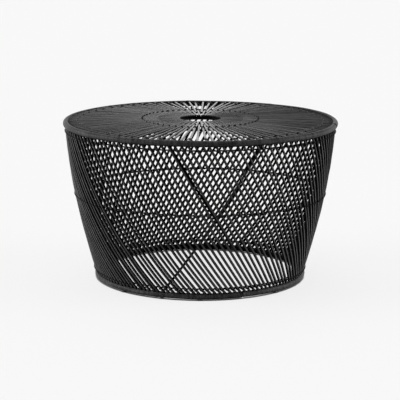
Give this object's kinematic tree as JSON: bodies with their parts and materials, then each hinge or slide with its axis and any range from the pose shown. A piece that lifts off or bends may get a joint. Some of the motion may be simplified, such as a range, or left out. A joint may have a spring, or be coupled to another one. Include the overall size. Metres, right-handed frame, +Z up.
{
  "type": "rattan coffee table",
  "caption": "Round drum-shaped coffee table of black rattan: slanting sticks between a wide rim and a smaller base ring, with a crowned top of radial spokes around an open centre.",
  "frame": {"origin": "on the floor, on the table's vertical axis", "axes": "+Z up; the front faces -Y; +X is to the right seen from the front"},
  "size_m": [0.8, 0.8, 0.4704],
  "materials": {
    "rattan_pole": "black stained, satin lacquer",
    "rattan_stick": "black stained, satin lacquer",
    "cane_binding": "black stained cane, matte",
    "steel_pin": "bright wire",
    "glide_plastic": "matte moulded"
  },
  "bodies": {
    "root": {"base_joint_pins": "steel_pin", "base_pole_back": "rattan_pole", "base_pole_front": "rattan_pole", "brace_1": "rattan_pole", "brace_2": "rattan_pole", "brace_3": "rattan_pole", "brace_4": "rattan_pole", "brace_foot_lashings": "cane_binding", "brace_head_lashings": "cane_binding", "centre_hoop": "rattan_pole", "floor_glides": "glide_plastic", "lower_tie_hoop": "rattan_pole", "lower_tie_strand": "cane_binding", "mid_tie_hoop": "rattan_pole", "mid_tie_strand": "cane_binding", "rim_joint_pins": "steel_pin", "rim_pole_back": "rattan_pole", "rim_pole_front": "rattan_pole", "side_sticks_01": "rattan_stick", "side_sticks_02": "rattan_stick", "side_sticks_03": "rattan_stick", "side_sticks_04": "rattan_stick", "side_sticks_05": "rattan_stick", "side_sticks_06": "rattan_stick", "side_sticks_07": "rattan_stick", "side_sticks_08": "rattan_stick", "side_sticks_09": "rattan_stick", "side_sticks_10": "rattan_stick", "side_sticks_11": "rattan_stick", "side_sticks_12": "rattan_stick", "top_inner_hoop": "rattan_pole", "top_inner_strand": "cane_binding", "top_outer_hoop": "rattan_pole", "top_outer_strand": "cane_binding", "top_spokes_01": "rattan_stick", "top_spokes_02": "rattan_stick", "top_spokes_03": "rattan_stick", "top_spokes_04": "rattan_stick", "top_spokes_05": "rattan_stick", "top_spokes_06": "rattan_stick", "top_spokes_07": "rattan_stick", "top_spokes_08": "rattan_stick", "top_spokes_09": "rattan_stick", "top_spokes_10": "rattan_stick", "top_spokes_11": "rattan_stick", "top_spokes_12": "rattan_stick", "upper_tie_hoop": "rattan_pole", "upper_tie_strand": "cane_binding"}
  },
  "joints": []
}
